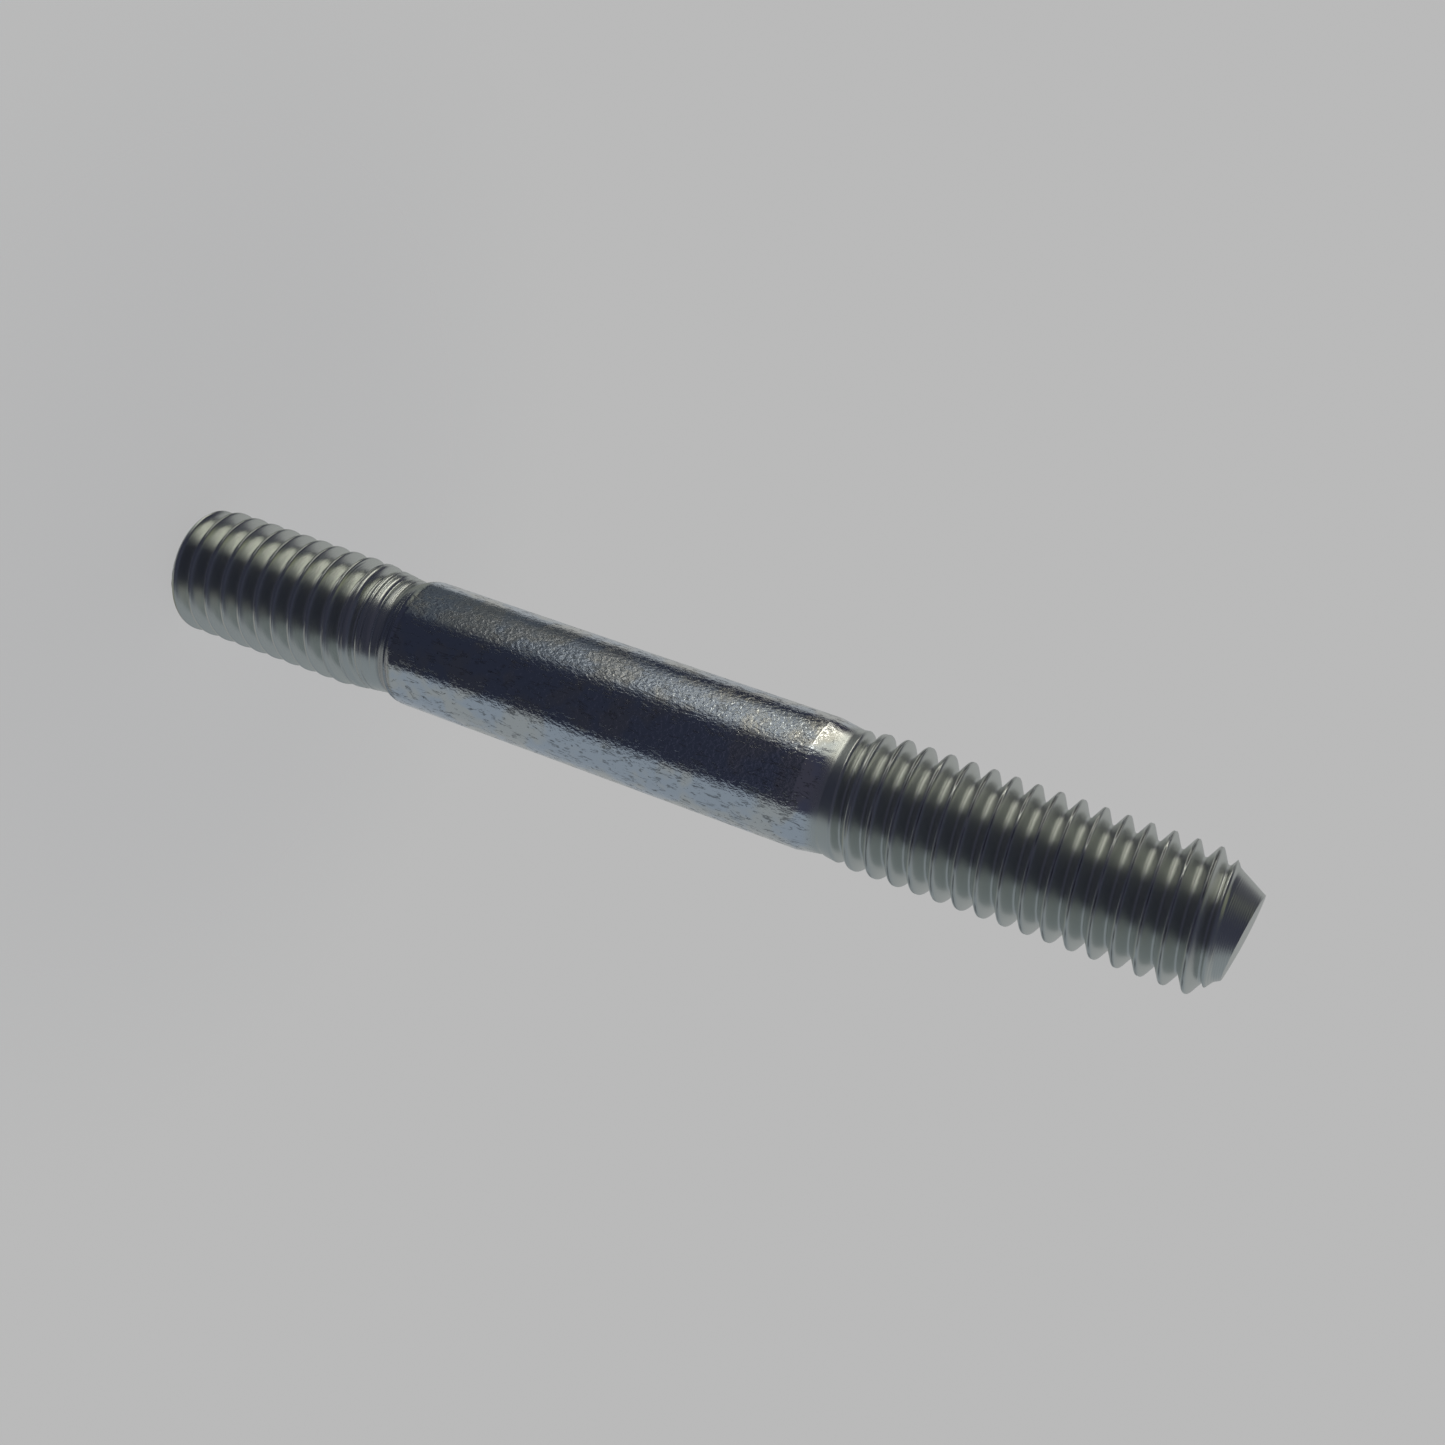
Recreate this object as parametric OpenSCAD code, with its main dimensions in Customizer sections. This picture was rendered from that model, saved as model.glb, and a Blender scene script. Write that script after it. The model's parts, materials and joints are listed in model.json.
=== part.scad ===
// Double-ended stud bolt, one piece of zinc-plated steel, standing on its shorter tap end.
// Both threads are rolled on a blank of the thread's mid diameter, so their crests stand
// proud of the plain shank and their last turns fade into the blank beside it. +Z runs from
// the tap end to the nut end, and the origin is the centre of the tap end's face. Sizes are in mm.

/* [Thread] */
// Outside diameter over the crests, the same at both ends
thread_d = 7.82; // [6:0.02:12]
// Distance from one crest to the next
pitch = 1.25; // [1:0.05:1.5]
// Full angle between the two flanks of the groove
flank_deg = 60; // [55:1:65]
// Share of the pitch that is flat at the crest
crest_share = 0.125; // [0.1:0.005:0.16]
// Share of the pitch that is flat at the root
root_share = 0.125; // [0.08:0.005:0.16]
// Straight steps in one turn of the helical groove
turn_steps = 32; // [24:4:40]

/* [Tap end] */
// From the end face to the start of the full shank
tap_len = 16.9; // [12:0.05:20]
// Diameter of the flat end face it stands on, as a share of the thread's
tap_face_share = 0.7; // [0.6:0.005:0.85]
// Turns over which the last crests sink to the blank
tap_fade_turns = 2.5; // [1.5:0.25:3.5]
// Length of the bare blank beside the shank
neck_len = 0.35; // [0.2:0.05:1]
// Radius of the rounded shoulder at the start of the shank
shoulder_r = 1.6; // [1:0.1:2.4]
// Angle around the axis where the groove starts
tap_start_deg = 249; // [0:1:360]

/* [Shank] */
// Diameter of the plain shank, as a share of the thread's
shank_share = 0.985; // [0.95:0.005:1]
// Length of the full shank between its shoulder and its cone
shank_len = 26.1; // [10:0.1:60]

/* [Nut end] */
// From the end of the full shank to the end face, on the axis
nut_len = 24.1; // [16:0.05:34]
// Angle of the cone from the shank down to the first crest
cone_deg = 9; // [6:1:20]
// Diameter at the foot of that cone, as a share of the thread's
cone_foot_share = 0.925; // [0.9:0.005:0.94]
// Turns over which the first crests rise to full height
nut_fade_turns = 1.75; // [1:0.25:3]
// Angle at which the last crests sink to the chamfer
sink_deg = 41; // [30:1:55]
// Diameter where the end chamfer starts, as a share of the thread's
nose_share = 0.775; // [0.76:0.005:0.85]
// Angle of the end chamfer to the axis
chamfer_deg = 30; // [20:1:50]
// Diameter that the chamfer leaves at the end, as a share of the thread's
nut_face_share = 0.62; // [0.55:0.005:0.75]
// Angle by which the cropped end face is out of square
skew_deg = 8.6; // [0.5:0.1:12]
// Direction, around the axis, in which the cropped face leans
skew_dir_deg = 13; // [-180:1:180]
// Angle around the axis where the groove starts
nut_start_deg = 135; // [0:1:360]

/* [Hidden] */
$fn = 96;

// How far a cutter runs on past the surface it cuts
overrun = 0.08;
// Straight steps in the rounding of the tap end and of the shoulder
round_steps = 6;

major_r = thread_d / 2;
shank_r = major_r * shank_share;
tap_face_r = major_r * tap_face_share;
nut_face_r = major_r * nut_face_share;
nose_r = major_r * nose_share;
foot_r = major_r * cone_foot_share;

// Thread section: flats at crest and root, joined by straight flanks
flank_run = tan(flank_deg / 2);
crest_half = pitch * crest_share / 2;
root_half = pitch * root_share / 2;
thread_depth = (pitch / 2 - crest_half - root_half) / flank_run;
root_r = major_r - thread_depth;
blank_r = major_r - thread_depth / 2;

// Heights at the tap end
tap_round = major_r - tap_face_r;
shoulder_sweep = acos(1 - (shank_r - blank_r) / shoulder_r);
neck_z = tap_len - shoulder_r * sin(shoulder_sweep) - neck_len;
tap_full_z = neck_z - tap_fade_turns * pitch;

// Heights at the nut end
shank_top_z = tap_len + shank_len;
cone_z = shank_top_z + (shank_r - foot_r) / tan(cone_deg);
nut_full_z = cone_z + nut_fade_turns * pitch;
end_z = shank_top_z + nut_len;
nose_z = end_z - (nose_r - nut_face_r) / tan(chamfer_deg);
sink_z = nose_z - (major_r - nose_r) / tan(sink_deg);
// The chamfer runs on past the cropped face, which then trims it
tip_z = end_z + 2 * nut_face_r * tan(skew_deg);
tip_r = nut_face_r - (tip_z - end_z) * tan(chamfer_deg);

// One section of the helical groove: two corners at the root, two past the crest
function groove_row(angle, z, lift) =
    let (
        inner = root_r + lift,
        outer = major_r + overrun,
        mouth = root_half + (outer - inner) * flank_run,
        across = cos(angle),
        along = sin(angle)
    )
    [
        [inner * across, inner * along, z - root_half],
        [inner * across, inner * along, z + root_half],
        [outer * across, outer * along, z + mouth],
        [outer * across, outer * along, z - mouth]
    ];

// The skin over those sections: two triangles a side between neighbours, and a flat at each end
function groove_faces(rows) = [
    [0, 1, 2, 3],
    for (i = [0 : rows - 2], k = [0 : 3])
        each [
            [4 * i + k, 4 * i + 4 + k, 4 * i + (k + 1) % 4],
            [4 * i + (k + 1) % 4, 4 * i + 4 + k, 4 * i + 4 + (k + 1) % 4]
        ],
    [for (k = [3 : -1 : 0]) 4 * (rows - 1) + k]
];

// Right-hand groove that climbs from first_z to last_z. Its root starts first_lift above
// full depth and ends last_lift above it, each over its own number of turns.
module groove(start_deg, first_z, last_z, first_lift, first_turns, last_lift, last_turns) {
    steps = ceil((last_z - first_z) / pitch * turn_steps);
    sections = [
        for (i = [0 : steps])
            let (
                rising = first_lift * max(0, 1 - i / (first_turns * turn_steps)),
                fading = last_lift * max(0, 1 - (steps - i) / (last_turns * turn_steps)),
                turned = i / turn_steps
            )
            groove_row(start_deg + 360 * turned, first_z + pitch * turned, rising + fading)
    ];
    polyhedron(
        points = [for (section = sections) each section],
        faces = groove_faces(steps + 1),
        convexity = 10
    );
}

// Every diameter of the stud before the grooves are pressed in, turned about the axis
module blank() {
    rotate_extrude()
    polygon([
        [0, 0],
        for (i = [0 : round_steps])
            let (a = 90 * i / round_steps)
            [tap_face_r + tap_round * sin(a), tap_round * (1 - cos(a))],
        [major_r, tap_full_z],
        [blank_r, neck_z],
        for (i = [0 : round_steps])
            let (a = shoulder_sweep * (1 - i / round_steps))
            [shank_r - shoulder_r * (1 - cos(a)), tap_len - shoulder_r * sin(a)],
        [shank_r, shank_top_z],
        [foot_r, cone_z],
        [major_r, nut_full_z],
        [major_r, sink_z],
        [nose_r, nose_z],
        [tip_r, tip_z],
        [0, tip_z]
    ]);
}

// What the shear took off the nut end, a little out of square
module cropped_end() {
    side = 2 * thread_d;
    translate([0, 0, end_z])
    rotate([0, 0, skew_dir_deg])
    rotate([0, skew_deg, 0])
    translate([-side / 2, -side / 2, 0])
    cube([side, side, side]);
}

// The whole stud: the blank, less the groove of each thread and the cropped end
module stud() {
    color([0.72, 0.74, 0.76])
    difference() {
        blank();
        groove(
            start_deg = tap_start_deg,
            first_z = -pitch,
            last_z = neck_z,
            first_lift = 0,
            first_turns = 1,
            last_lift = thread_depth / 2 + overrun / 2,
            last_turns = tap_fade_turns
        );
        groove(
            start_deg = nut_start_deg,
            first_z = cone_z - pitch / 2,
            last_z = tip_z + pitch,
            first_lift = thread_depth + overrun / 2,
            first_turns = 1,
            last_lift = 0,
            last_turns = 1
        );
        cropped_end();
    }
}

stud();
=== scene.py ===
import json

import bpy
import numpy as np
from mathutils import Matrix, Vector


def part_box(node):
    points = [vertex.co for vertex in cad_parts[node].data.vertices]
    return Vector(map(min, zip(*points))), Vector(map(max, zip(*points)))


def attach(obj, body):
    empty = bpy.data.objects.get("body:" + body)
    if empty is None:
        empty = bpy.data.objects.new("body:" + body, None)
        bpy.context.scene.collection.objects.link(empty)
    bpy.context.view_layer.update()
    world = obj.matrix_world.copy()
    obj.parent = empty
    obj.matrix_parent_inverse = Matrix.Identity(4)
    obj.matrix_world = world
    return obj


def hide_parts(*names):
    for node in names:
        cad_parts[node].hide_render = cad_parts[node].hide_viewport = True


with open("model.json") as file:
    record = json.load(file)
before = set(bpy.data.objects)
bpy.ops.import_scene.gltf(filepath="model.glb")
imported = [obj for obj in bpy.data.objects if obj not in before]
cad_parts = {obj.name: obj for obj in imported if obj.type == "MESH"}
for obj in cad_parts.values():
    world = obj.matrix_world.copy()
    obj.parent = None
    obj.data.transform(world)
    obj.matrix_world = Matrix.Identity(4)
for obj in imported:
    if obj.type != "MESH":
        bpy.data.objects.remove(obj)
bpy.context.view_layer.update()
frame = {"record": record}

scene = bpy.context.scene
scene.view_settings.view_transform = "Standard"

# The stud
# A length of carbon-steel bar with a plain shank and a thread rolled at each end, the short one for a
# tapped hole and the long one for a nut. The dies push the metal up into crests that close in a thin
# fold. The bar is cropped a little askew at the nut end and has bright zinc plate all over.
mm = 0.001
mounts = {mount["name"]: mount for mount in frame["record"]["mounts"]}
crest_r = mounts["nut_thread"]["dims"]["r_mm"]
shank_r = mounts["shank"]["dims"]["r_mm"]
shank_len = mounts["shank"]["dims"]["length_mm"]
shank_z = mounts["shank"]["pos_m"][2] / mm - shank_len / 2
cone_start_z = shank_z + shank_len

pitch = 1.25
flank_run = np.tan(np.radians(30))
root_half = crest_half = pitch / 16
depth = (pitch / 2 - crest_half - root_half) / flank_run
root_r = crest_r - depth
blank_r = crest_r - depth / 2
root_corner, root_dip = 0.03, 0.006
fold_depth, tap_fold_half, nut_fold_half = 0.06, 0.022, 0.04
fold_lead, fold_past, fold_stop = 1.4, 0.2, 0.7 * pitch

tap_face_r = 0.7 * crest_r
tap_edge = crest_r - tap_face_r
shoulder_arc = 1.6
shoulder_sweep = np.arccos(1 - (shank_r - blank_r) / shoulder_arc)
neck_len = 0.35
neck_z = shank_z - shoulder_arc * np.sin(shoulder_sweep) - neck_len
tap_fade = 2.5 * pitch
tap_start = 249 / 360
tap_first_z = -pitch
tap_blunt, tap_soft, neck_soft = 0.4, 0.03, 0.1

cone_foot_r = 0.925 * crest_r
cone = np.tan(np.radians(9))
cone_z = cone_start_z + (shank_r - cone_foot_r) / cone
nut_fade = 1.75 * pitch
nut_start = 135 / 360
nut_first_z = cone_z - pitch / 2
nut_blunt, cone_blunt, blunt_fade = 0.56, 0.34, 8 * pitch
nut_soft, nose_soft = 0.05, 0.05

sink = np.tan(np.radians(55))
sink_len, sink_lean = 0.59, 0.16
nose_r = 0.775 * crest_r
chamfer = np.tan(np.radians(30))
nut_face_r = 0.62 * crest_r
skew = np.tan(np.radians(8.6))
skew_turn = 13 / 360
dome = 0.12
end_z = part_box("stud")[1].z / mm - skew * nut_face_r / (1 + skew * chamfer)
nose_z = end_z - (nose_r - nut_face_r) / chamfer


def soft_min(a, b, width):
    """The smaller of two radii, with the corner where they cross rounded over the width."""
    share = np.clip(0.5 + (b - a) / (2 * width), 0, 1)
    return b + (a - b) * share - width * share * (1 - share)


def blank_radius(z, turn):
    """Radius of the bare blank at height z: a quarter round off the tap face, the crest line, a straight
    taper through the run-out to the neck, an arc that rises from the neck to the shank, the shank, the
    cone and its return to the crest line, a steep fall that leans round the turn, and the chamfer."""
    neck = np.interp(z, [neck_z - tap_fade, neck_z], [crest_r, blank_r])
    inset = np.clip((shank_z - z) / shoulder_arc, 0, 1)
    shoulder = shank_r - shoulder_arc * (1 - np.sqrt(1 - inset**2))
    tap_side = -soft_min(-neck, -shoulder, neck_soft)
    lead = np.interp(z, [cone_start_z, cone_z, cone_z + nut_fade], [shank_r, cone_foot_r, crest_r])
    fall = crest_r - (z - nose_z + sink_len - sink_lean * np.cos(2 * np.pi * turn)) * sink
    nose = nose_r - (z - nose_z) * chamfer
    nut_side = soft_min(lead, -soft_min(-fall, -nose, nose_soft), nose_soft)
    quarter_round = tap_face_r + np.sqrt(np.clip(tap_edge**2 - (tap_edge - z) ** 2, 0, None))
    return np.where(z < tap_edge, quarter_round, np.where(z < shank_z, tap_side, nut_side))


def groove(z, turn, first_z, start, lift, dip, blunt):
    """Radius left by the die at height z and share of a turn. The groove's middle climbs one pitch a turn
    from first_z; it has a root that dips in the middle and two straight flanks, and its floor is raised
    by lift(middle) where it runs out. Neighbouring flanks meet in a crest rounded by blunt. Also gives the
    distance from the crest line and the turns wound up to there."""
    wound = (z - first_z) / pitch - turn + start
    below = np.floor(wound)
    flanks = []
    for step in (0, 1):
        middle = first_z + pitch * (turn - start + below + step)
        out = np.abs(z - middle) - root_half
        rise = (out + np.sqrt(out**2 + root_corner**2)) / 2
        bowl = dip * (np.clip((z - middle) / root_half, -1, 1) ** 2 - 1)
        flanks.append(root_r + lift(middle) + rise / flank_run + bowl)
    left = soft_min(*flanks, blunt) + np.maximum(blunt / 4 - crest_half / flank_run, 0)
    return left, np.abs(wound - below - 0.5) * pitch, turn + below


def ragged(wound, *waves):
    """A broken line along the crest, from 0 to 1: the mean of sine waves, each so many to the turn, raised
    so that more of the line is there than not, and clipped."""
    mixed = sum(np.sin(2 * np.pi * (wave * wound + wave**2)) for wave in waves) / len(waves)
    return np.clip(0.75 + 0.9 * mixed, 0, 1)


def stud_radius(z, turn):
    """Radius of the finished stud: the blank cut by both grooves, whose crests at the nut end are bluntest
    beside the cone, less the fold along each crest, a gauss-shaped nick that comes and goes. Also gives
    how deep in a fold a point is, 0 to 1, and its distance from the crest line."""
    tap, tap_off, tap_wound = groove(
        z, turn, tap_first_z, tap_start,
        lambda middle: np.clip((middle - neck_z) / tap_fade + 1, 0, None) * (depth / 2 + crest_half),
        dip=0, blunt=tap_blunt)
    nut, nut_off, nut_wound = groove(
        z, turn, nut_first_z, nut_start,
        lambda middle: np.clip((nut_first_z - middle) / pitch + 1, 0, None) * (depth + crest_half),
        dip=root_dip, blunt=nut_blunt + cone_blunt * np.clip(1 - (z - cone_z) / blunt_fade, 0, 1))
    at_tap = z < shank_z
    at_nut = z > cone_start_z
    blank = blank_radius(z, turn)
    radius = np.where(at_tap, soft_min(blank, tap, tap_soft),
                      np.where(at_nut, soft_min(blank, nut, nut_soft), blank))
    run_out = np.clip((z - neck_z) / tap_fade + fold_lead, 0, 1) * (z < neck_z + fold_past)
    tap_fold = np.exp(-((tap_off / tap_fold_half) ** 2)) * run_out * ragged(tap_wound, 2.3, 5.9)
    nut_fold = np.exp(-((nut_off / nut_fold_half) ** 2)) * ragged(nut_wound, 3.7, 11.3, 17.9)
    nut_fold *= np.clip((z - cone_z) / pitch - 1, 0, 1) * (z < nose_z - fold_stop)
    fold = np.where(at_tap, tap_fold, np.where(at_nut, nut_fold, 0))
    return radius - fold_depth * fold, fold, np.where(at_tap, tap_off, nut_off)


columns = 96
rim_gap = 0.01
half_offsets = np.array([0.035, 0.0625, 0.09, 0.16, 0.25, 0.34, 0.40, 0.43, 0.455, 0.475, 0.49])
offsets = np.concatenate([-half_offsets[::-1], [0], half_offsets, [0.5]])
per_pitch = len(offsets)


def helix_rows(middle_z, low_z, high_z):
    """Row heights at turn 0 that keep step with a groove: a set of offsets for each pitch, low to high."""
    first = np.floor((low_z - middle_z) / pitch)
    count = np.ceil((high_z - low_z) / pitch) + 1
    return (middle_z + pitch * (first + np.arange(count)[:, None] + offsets)).ravel()


tap_rows = helix_rows(tap_first_z - pitch * tap_start, -pitch, shank_z + pitch)
nut_rows = helix_rows(nut_first_z - pitch * nut_start, cone_start_z - pitch, end_z + 3 * pitch)
shank_rows = np.linspace(tap_rows[-1], nut_rows[0], per_pitch + 2)[1:-1]
row_z = np.concatenate([tap_rows, shank_rows, nut_rows])


def stud_grid():
    """Points and triangles of the stud. Row k climbs to row k + one pitch in a turn, so the rows follow
    the thread and the seam joins row k to row k + one pitch. Rows past an end fall on that end's rim,
    which a fan of rings closes; triangles left without width are dropped. Also gives the number of the
    first rim point, and each point's depth in a fold and distance from the crest line."""
    turn = np.arange(columns) / columns
    angle = 2 * np.pi * turn
    z = row_z[:-per_pitch, None] + (row_z[per_pitch:] - row_z[:-per_pitch])[:, None] * turn
    lean = skew * np.cos(angle - 2 * np.pi * skew_turn)
    face_r = nut_face_r / (1 - lean * chamfer)
    face_z = end_z - lean * face_r
    radius, fold, off = stud_radius(z, np.broadcast_to(turn, z.shape))
    low, high = z < rim_gap, z > face_z - rim_gap
    inside = ~(low | high)
    count = inside.sum()
    index = np.zeros(z.shape, int)
    index[inside] = np.arange(count)
    index = np.where(low, count + np.arange(columns), index)
    index = np.where(high, count + columns + np.arange(columns), index)
    seam = np.concatenate([index[per_pitch:, 0], np.full(per_pitch, count + columns)])
    ahead = np.concatenate([index[:, 1:], seam[:, None]], axis=1)
    a, b, c, d = index[:-1], index[1:], ahead[1:], ahead[:-1]
    side = np.concatenate([np.stack([a, d, c], -1).reshape(-1, 3), np.stack([a, c, b], -1).reshape(-1, 3)])
    side = side[(side[:, 0] != side[:, 1]) & (side[:, 1] != side[:, 2]) & (side[:, 2] != side[:, 0])]

    round_x, round_y = np.cos(angle), np.sin(angle)
    body = np.stack([radius * round_x, radius * round_y, z], -1)[inside]
    tap_rim = np.stack([tap_face_r * round_x, tap_face_r * round_y, 0 * turn], -1)
    nut_rim = np.stack([face_r * round_x, face_r * round_y, face_z], -1)
    points, caps = [body, tap_rim, nut_rim], []
    total = count + 2 * columns
    ring = np.arange(columns)
    onward = (ring + 1) % columns
    shrink = np.array([0.9, 0.6, 0.3])
    for rim, start, centre, flip in ((tap_rim, count, (0, 0, 0), True),
                                     (nut_rim, count + columns, (0, 0, end_z), False)):
        crown = np.array([0, 0, 0 if flip else dome])
        inner = centre + shrink[:, None, None] * (rim - centre) + crown * (1 - shrink[:, None, None] ** 2)
        points += [inner.reshape(-1, 3), (np.array(centre) + crown)[None]]
        hub = total + shrink.size * columns
        loops = np.concatenate([[start + ring], np.arange(total, hub).reshape(-1, columns)])
        o, p, q, r = loops[:-1, ring], loops[:-1, onward], loops[1:, onward], loops[1:, ring]
        fan = np.stack([loops[-1, ring], loops[-1, onward], np.full(columns, hub)], -1)
        cap = np.concatenate([np.stack([o, p, q], -1).reshape(-1, 3),
                              np.stack([o, q, r], -1).reshape(-1, 3), fan])
        caps.append(cap[:, ::-1] if flip else cap)
        total = hub + 1
    fold, off = (np.concatenate([kept[inside], np.zeros(total - count)]) for kept in (fold, off))
    return np.concatenate(points) * mm, np.concatenate([side, *caps]), count, fold, off


points, triangles, rim_start, fold, off = stud_grid()
mesh = bpy.data.meshes.new("stud_zinc")
mesh.from_pydata(points.tolist(), [], triangles.tolist())
mesh.polygons.foreach_set("use_smooth", np.ones(len(triangles), bool))
edge_ends = np.zeros(2 * len(mesh.edges), np.int32)
mesh.edges.foreach_get("vertices", edge_ends)
on_rim = (edge_ends >= rim_start) & (edge_ends < rim_start + 2 * columns)
mesh.edges.foreach_set("use_edge_sharp", on_rim.reshape(-1, 2).all(axis=1))
for name, values in (("fold", fold), ("off_crest", off)):
    mesh.attributes.new(name, "FLOAT", "POINT").data.foreach_set("value", values.astype(np.float32))
mesh.update()
stud = bpy.data.objects.new("stud_zinc", mesh)
scene.collection.objects.link(stud)


class Wire:
    """A socket of a node tree. Sums, products and the like add Math nodes, and add() any other node."""

    def __init__(self, tree, socket=None):
        self.tree, self.socket = tree, socket

    def add(self, kind, settings=None, sockets=None, out=0):
        """A node of this kind: its settings first, then its sockets. Gives the output asked for."""
        node = self.tree.nodes.new("ShaderNode" + kind)
        for name, value in (settings or {}).items():
            setattr(node, name, value)
        for name, value in (sockets or {}).items():
            if isinstance(value, Wire):
                self.tree.links.new(value.socket, node.inputs[name])
            else:
                node.inputs[name].default_value = value
        return Wire(self.tree, node.outputs[out] if node.outputs else None)

    def math(self, operation, left, right):
        """A Math node on two values."""
        return self.add("Math", {"operation": operation}, {0: left, 1: right})

    def __add__(self, other):
        return self.math("ADD", self, other)

    def __sub__(self, other):
        return self.math("SUBTRACT", self, other)

    def __rsub__(self, other):
        return self.math("SUBTRACT", other, self)

    def __mul__(self, other):
        return self.math("MULTIPLY", self, other)

    def __truediv__(self, other):
        return self.math("DIVIDE", self, other)

    def __pow__(self, other):
        return self.math("POWER", self, other)

    __radd__, __rmul__ = __add__, __mul__

    def step(self, low, high):
        """0 below low and 1 above high, with a smooth rise between."""
        return self.add("MapRange", {"interpolation_type": "SMOOTHSTEP"},
                        {"Value": self, "From Min": low, "From Max": high})

    def tint(self, off, on):
        """The first colour where this value is 0 and the second where it is 1."""
        return self.add("Mix", {"data_type": "RGBA"}, {0: self, 6: off, 7: on}, out=2)

    def noise(self, scale, detail=2, roughness=0.5, distortion=0):
        """Cloudy noise on this position, with so many cells to the millimetre."""
        return self.add("TexNoise", {}, {"Vector": self, "Scale": scale, "Detail": detail,
                                         "Roughness": roughness, "Distortion": distortion})

    def stretch(self, x, y, z):
        """This position with each axis multiplied."""
        return self.add("VectorMath", {"operation": "MULTIPLY"}, {0: self, 1: (x, y, z)})


zinc = bpy.data.materials.new("bright_zinc")
zinc.use_nodes = True
zinc.node_tree.nodes.clear()
bare = Wire(zinc.node_tree)
place = bare.add("TexCoord", out="Object").stretch(1 / mm, 1 / mm, 1 / mm)
height = bare.add("SeparateXYZ", {}, {0: place}, out="Z")
on_nut = height.step(cone_start_z + 0.6, cone_z)
on_shank = height.step(shank_z - 0.7, shank_z - 0.2) * (1 - on_nut)
on_shoulder = height.step(neck_z, neck_z + 0.3) * height.step(shank_z + 0.1, shank_z - 0.3)
from_axis = bare.add("VectorMath", {"operation": "LENGTH"}, {0: place.stretch(1, 1, 0)}, out="Value")
inside_cone = nose_r - (height - nose_z) * chamfer - from_axis
on_chamfer = height.step(nose_z, nose_z + 0.1) * inside_cone.step(0.12, 0.04)
grainy = on_shank * height.step(cone_start_z + 1.6, cone_start_z - 0.4)
on_run_out = height.step(neck_z - 1.5 * tap_fade, neck_z - tap_fade) * height.step(neck_z + 0.2, neck_z)
in_fold = bare.add("Attribute", {"attribute_name": "fold"}, out="Fac")
off_crest = bare.add("Attribute", {"attribute_name": "off_crest"}, out="Fac")

peel = place.stretch(1, 1, 0.7).noise(5.2, detail=3, roughness=0.5, distortion=0.5)
fine = place.noise(14, detail=2)
blotch = place.noise(0.45, detail=2, roughness=0.6)
cloud = place.stretch(1, 1, 0.5).noise(0.9, detail=3, roughness=0.6)
wander = place.stretch(1, 1, 0.2).noise(3.0, detail=3, roughness=0.65, distortion=0.5)
crease = 1 - bare.add("Math", {"operation": "ABSOLUTE"}, {0: wander - 0.5}).step(0.008, 0.042)
crease = crease * place.stretch(1, 1, 0.6).noise(2.4, detail=2).step(0.48, 0.55) * on_shank
pit = place.noise(5.5, detail=1).step(0.72, 0.77) * on_shank
ring_gap, drawn_gap = 0.11, 0.09
rings = bare.add("Math", {"operation": "SINE"}, {0: height * (2 * np.pi / ring_gap)})
drawn = bare.add("Math", {"operation": "SINE"}, {0: off_crest * (2 * np.pi / drawn_gap)})
drawn = drawn * off_crest.step(0.3, 0.1)

blue_grey, straw, green_grey = (0.72, 0.775, 0.83, 1), (0.82, 0.815, 0.77, 1), (0.68, 0.70, 0.66, 1)
# Painted shade colours: near-black for the creases and pits, dark grey for the crest folds, and a dim grey
# for the shoulder.
crease_shade, fold_shade, shoulder_shade = (0.15, 0.16, 0.17, 1), (0.12, 0.12, 0.12, 1), (0.34, 0.37, 0.40, 1)
plate = on_shank.tint(green_grey, blotch.step(0.44, 0.60).tint(blue_grey, straw))
shoulder_shade_share, crease_shade_share, fold_shade_share = 0.6, 0.65, 0.7
# Painted shade: the shoulder between the neck and the shank is tinted a dim grey, so that it mirrors less
# light.
plate = (on_shoulder * shoulder_shade_share).tint(plate, shoulder_shade)
# Painted shade: the thin creases and the pits on the shank are tinted near-black.
plate = ((crease + pit) * crease_shade_share).tint(plate, crease_shade)
# Painted shade: the thin folds along the crests are tinted dark grey, which dims the highlight on the
# crests.
plate = (in_fold * fold_shade_share).tint(plate, fold_shade)
tap_rough, shank_rough, nut_rough = 0.24, 0.06, 0.29
gloss = tap_rough - (tap_rough - shank_rough) * on_shank + (nut_rough - tap_rough) * on_nut
gloss = gloss + 0.04 * cloud + 0.28 * crease
peel_height = 0.013 + 0.013 * height.step(shank_z, shank_z + 9)
relief = peel_height * peel * grainy + 0.0012 * fine + 0.0025 * cloud
relief = relief + 0.003 * drawn * on_run_out + 0.005 * rings * on_chamfer
dents = bare.add("Bump", {}, {"Height": relief - 0.002 * crease, "Distance": mm})
skin = bare.add("BsdfPrincipled", {},
                {"Base Color": plate, "Metallic": 1.0, "Roughness": gloss, "Normal": dents})
bare.add("OutputMaterial", {}, {"Surface": skin})
mesh.materials.append(zinc)
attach(stud, "root")
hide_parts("stud")

# The floor
# A small disc of pale matt board under the stud, which takes its shadow and fades at the rim into
# the pale backdrop. The plate mirrors it on the pale side of the studio only.
paper = 0.49
board_grey = 0.2
floor_r = 50
floor_fade = (14, 46)
mirrored_fade = (27, 20)
lit_side = np.radians(33)
seen_glow, mirrored_glow = 0.89, 0.62
floor_turns = np.linspace(0, 2 * np.pi, 65)[:-1]
floor_radii = np.linspace(0, floor_r, 9)[1:]
floor_grid = np.stack([floor_radii[:, None] * np.cos(floor_turns),
                       floor_radii[:, None] * np.sin(floor_turns),
                       np.zeros((floor_radii.size, floor_turns.size))], -1)
ring = np.arange(floor_turns.size)
onward = (ring + 1) % ring.size
rows = np.arange(floor_radii.size - 1)[:, None] * ring.size
bands = np.stack([rows + ring, rows + ring + ring.size, rows + onward + ring.size, rows + onward], -1)
floor_mesh = bpy.data.meshes.new("floor")
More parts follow.
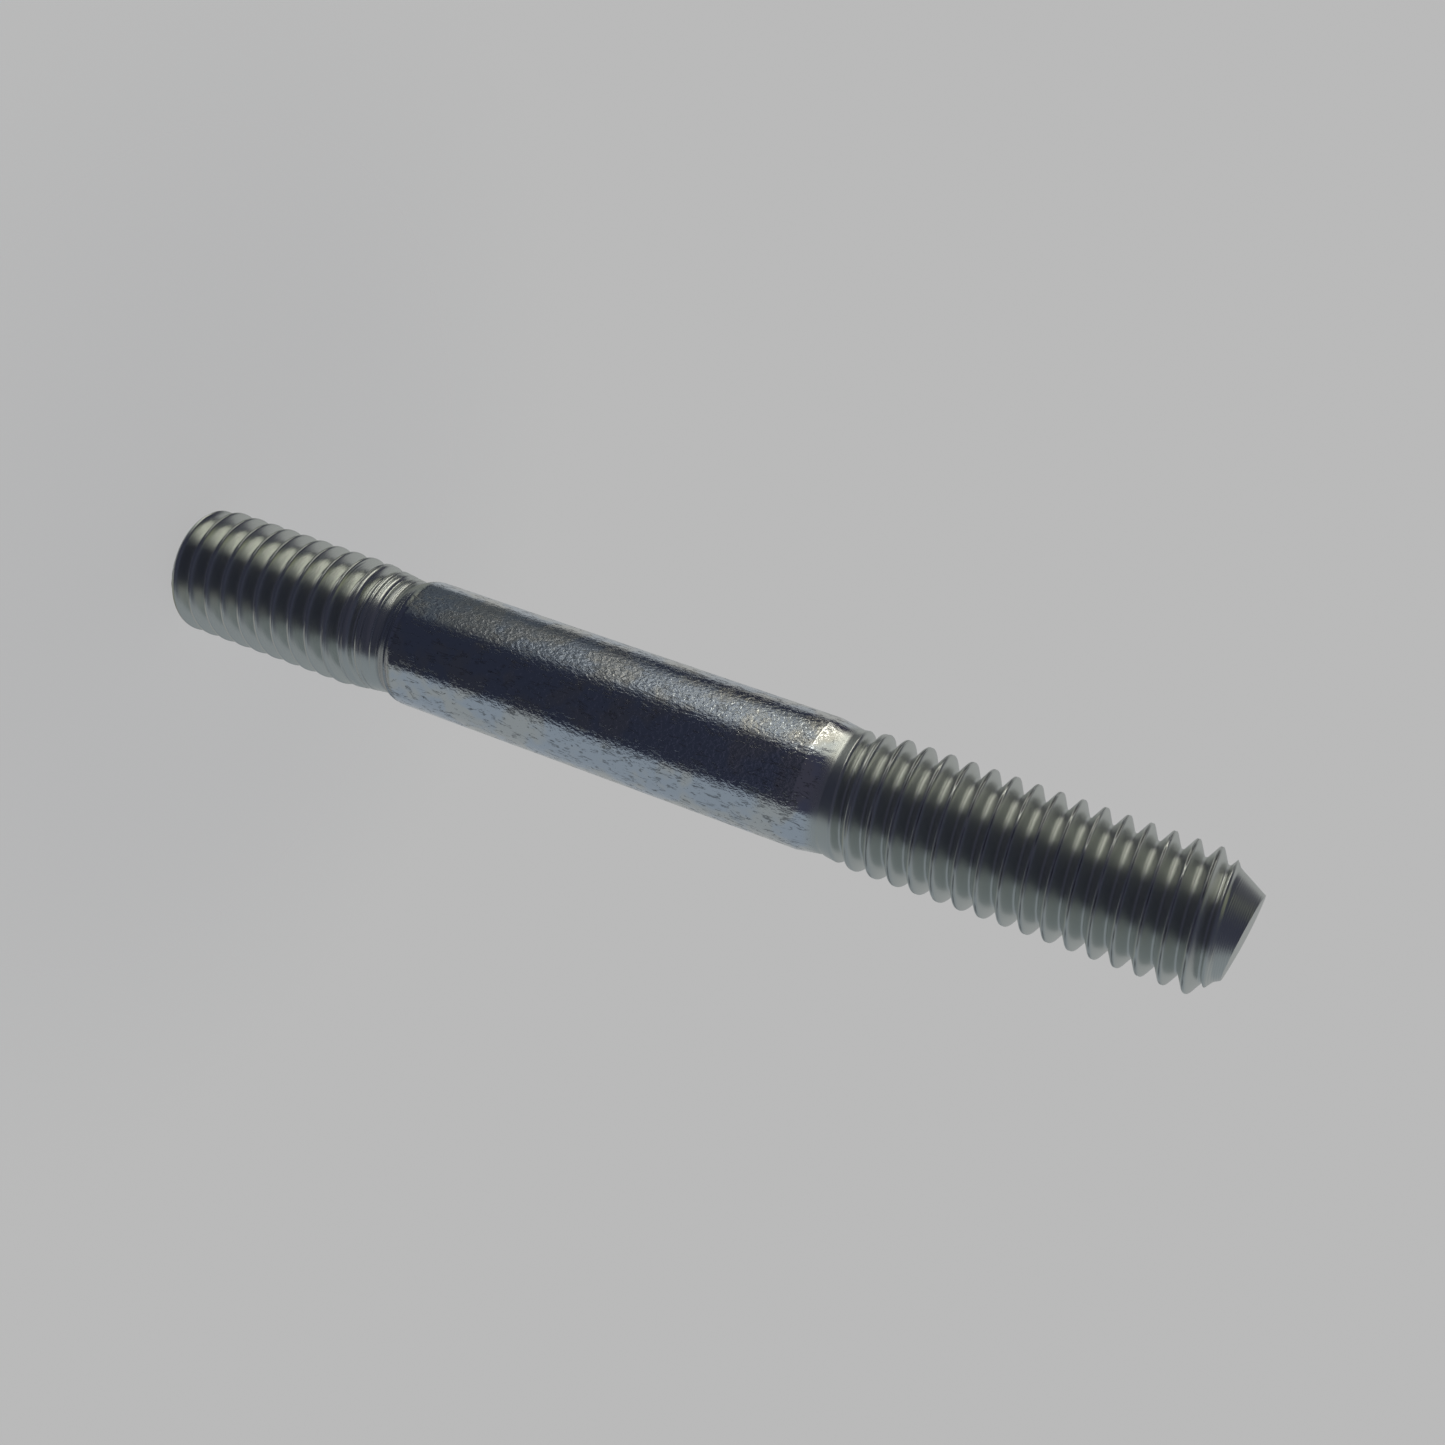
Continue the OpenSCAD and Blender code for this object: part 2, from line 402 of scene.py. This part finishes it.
floor_mesh.from_pydata((floor_grid.reshape(-1, 3) * mm).tolist(), [],
                       [ring.tolist(), *bands.reshape(-1, 4).tolist()])
floor = bpy.data.objects.new("floor", floor_mesh)
scene.collection.objects.link(floor)

board = bpy.data.materials.new("pale_board")
board.use_nodes = True
board.node_tree.nodes.clear()
bare = Wire(board.node_tree)
place = bare.add("TexCoord", out="Object").stretch(1 / mm, 1 / mm, 1 / mm)
span = bare.add("VectorMath", {"operation": "LENGTH"}, {0: place}, out="Value")
to_camera = bare.add("LightPath", out="Is Camera Ray")
to_metal = bare.add("LightPath", out="Is Glossy Ray")
matt = bare.add("BsdfDiffuse", {}, {"Color": (board_grey, board_grey, board_grey, 1)})
x, y = (bare.add("SeparateXYZ", {}, {0: place}, out=axis) for axis in "XY")
lit = (np.cos(lit_side) * x + np.sin(lit_side) * y).step(0, 4)
mirrored = to_metal * lit * span.step(*mirrored_fade)
glow_share = seen_glow * to_camera + mirrored_glow * mirrored
glow = bare.add("Emission", {}, {"Color": glow_share.tint((0, 0, 0, 1), (paper, paper, paper, 1))})
solid = bare.add("AddShader", {}, {0: matt, 1: glow})
clear = bare.add("BsdfTransparent")
faded = 1 - (1 - span.step(*floor_fade)) * (1 - to_metal + mirrored)
bare.add("OutputMaterial", {}, {"Surface": bare.add("MixShader", {}, {0: faded, 1: solid, 2: clear})})
floor_mesh.materials.append(board)

# The light
# A soft studio: a wide pale sweep behind the stud, one tall light panel at its side, cream where it is
# level with the nut end and slatted below, and a dim room in front, which the bright plate mirrors.
world = bpy.data.worlds.new("soft_studio")
scene.world = world
world.use_nodes = True
world.node_tree.nodes.clear()
sky = Wire(world.node_tree)
ray = sky.add("TexCoord", out="Generated")
x, y, z = (sky.add("SeparateXYZ", {}, {0: ray}, out=axis) for axis in "XYZ")
level = (x * x + y * y + 0.001) ** 0.5
tilt = sky.add("Math", {"operation": "ABSOLUTE"}, {0: z})


def toward(turn):
    """How far a ray points to a level direction, so many degrees round the stud from the camera's side."""
    return (-np.sin(np.radians(turn)) * x - np.cos(np.radians(turn)) * y) / level


dark_side = np.radians(36.5)
pale = np.sin(dark_side) * x + np.cos(dark_side) * y
panel = toward(79)
slats_top, cream_foot = -0.315, -0.300
slat_part = panel.step(0.80, 0.87) * toward(60).step(0.62, 0.95) * z.step(-0.48, -0.31)
slat_part = slat_part * z.step(cream_foot, slats_top)
cream_part = panel.step(0.80, 0.93) * z.step(slats_top, cream_foot) * z.step(0.16, 0.06)
reach = z + 0.2 * x.step(0, 0.3)
under = toward(0).step(0.55, 0.30) * reach.step(-0.80, -0.71) * z.step(-0.54, -0.62)
high = toward(108).step(0.90, 0.95) * z.step(0.76, 0.82) * z.step(0.985, 0.965)
slat_gap = 0.13
slats = 0.5 + 0.5 * sky.add("Math", {"operation": "SINE"}, {0: toward(173) * (2 * np.pi / slat_gap)})
slatted = slats.tint((0.09, 0.095, 0.10, 1), (0.89, 0.92, 0.94, 1))
cream = z.step(-0.25, -0.14).tint((0.34, 0.33, 0.28, 1), (2.8, 2.77, 2.6, 1))
cream = z.step(-0.14, -0.09).tint(cream, (0.66, 0.65, 0.57, 1))
leaf, olive = (0.24, 0.255, 0.16, 1), (0.27, 0.28, 0.25, 1)
room = z.step(-0.33, -0.25).tint((0.023, 0.026, 0.041, 1), (0.043, 0.044, 0.067, 1))
room = tilt.step(0.56, 0.75).tint(room, (0.040, 0.044, 0.070, 1))
haze = toward(92).step(0.55, 0.75) * z.step(-0.39, -0.46) * z.step(-0.54, -0.50)
room = haze.tint(room, (0.08, 0.09, 0.10, 1))
sweep = x.step(0.85, 0.1).tint((0.262, 0.292, 0.323, 1), (0.39, 0.40, 0.405, 1))
room = (pale.step(0.03, 0.14) * z.step(0.90, 0.83)).tint(room, sweep)
room = high.tint(room, leaf)
room = under.tint(room, olive)
room = slat_part.tint(room, slatted)
room = cream_part.tint(room, cream)
seen = sky.add("LightPath", out="Is Camera Ray").tint(room, (paper, paper, paper, 1))
sky.add("OutputWorld", {}, {"Surface": sky.add("Background", {}, {"Color": seen})})

# The camera
# Beside the nut end and a little above it, looking down along the stud and rolled until the stud lies
# across the frame.
view = bpy.data.cameras.new("camera")
photo_width, focal_length = 1445, 1974
view.sensor_width = 36
view.lens = view.sensor_width * focal_length / photo_width
view.clip_start = 0.005
camera = bpy.data.objects.new("camera", view)
stand = Vector((0, -104.307, 75.773)) * mm
sight = Vector((-0.012799, 0.935497, -0.353103))
roll = np.radians(109.245)
camera.matrix_world = (Matrix.Translation(stand) @ sight.to_track_quat("-Z", "Y").to_matrix().to_4x4()
                       @ Matrix.Rotation(roll, 4, "Z"))
scene.collection.objects.link(camera)
scene.camera = camera
